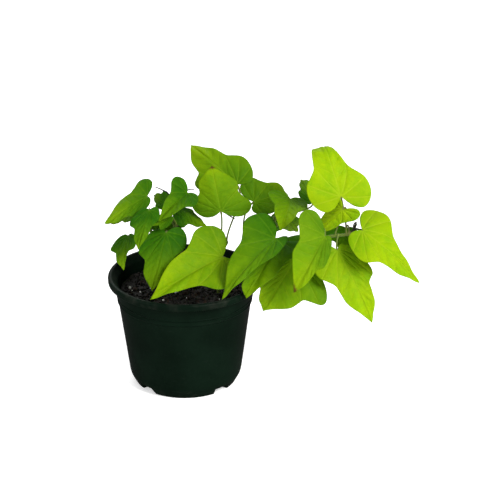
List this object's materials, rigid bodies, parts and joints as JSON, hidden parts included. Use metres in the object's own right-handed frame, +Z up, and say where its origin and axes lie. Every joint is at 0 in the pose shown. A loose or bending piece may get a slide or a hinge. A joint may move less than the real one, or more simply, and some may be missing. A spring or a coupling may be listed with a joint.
{
  "type": "sweet potato vine",
  "caption": "Sweet potato vine with chartreuse heart shaped and lobed leaves trailing over the side of a dark green plastic nursery pot filled with soil.",
  "frame": {"origin": "centre of the pot's underside, on the floor the pot stands on", "axes": "+Z up along the pot's axis; -Y towards the side the picture shows; +X the way the long vine trails"},
  "size_m": [0.3045, 0.1697, 0.2344],
  "materials": {
    "pot": "dark green black plastic with a soft gloss",
    "soil": "loose potting mix, matte",
    "stem": "smooth living stem, brown green",
    "leaf": "living leaf, satin, chartreuse"
  },
  "bodies": {
    "root": {"leaf_back_end": "leaf", "leaf_back_left": "leaf", "leaf_back_mid": "leaf", "leaf_crown_back": "leaf", "leaf_crown_front": "leaf", "leaf_far_right": "leaf", "leaf_front": "leaf", "leaf_front_right": "leaf", "leaf_hidden_left": "leaf", "leaf_hidden_mid": "leaf", "leaf_hidden_right": "leaf", "leaf_left_edge": "leaf", "leaf_left_front": "leaf", "leaf_left_inner": "leaf", "leaf_left_low": "leaf", "leaf_left_top": "leaf", "leaf_mid_left": "leaf", "leaf_mid_low": "leaf", "leaf_mid_right": "leaf", "leaf_mid_top": "leaf", "leaf_right_front": "leaf", "leaf_right_inner": "leaf", "leaf_right_low": "leaf", "leaf_right_mid": "leaf", "leaf_right_tip": "leaf", "leaf_right_top": "leaf", "leaf_right_under": "leaf", "pot": "pot", "soil": "soil", "vine_back": "stem", "vine_centre": "stem", "vine_left": "stem", "vine_mid": "stem", "vine_right": "stem"}
  },
  "joints": []
}
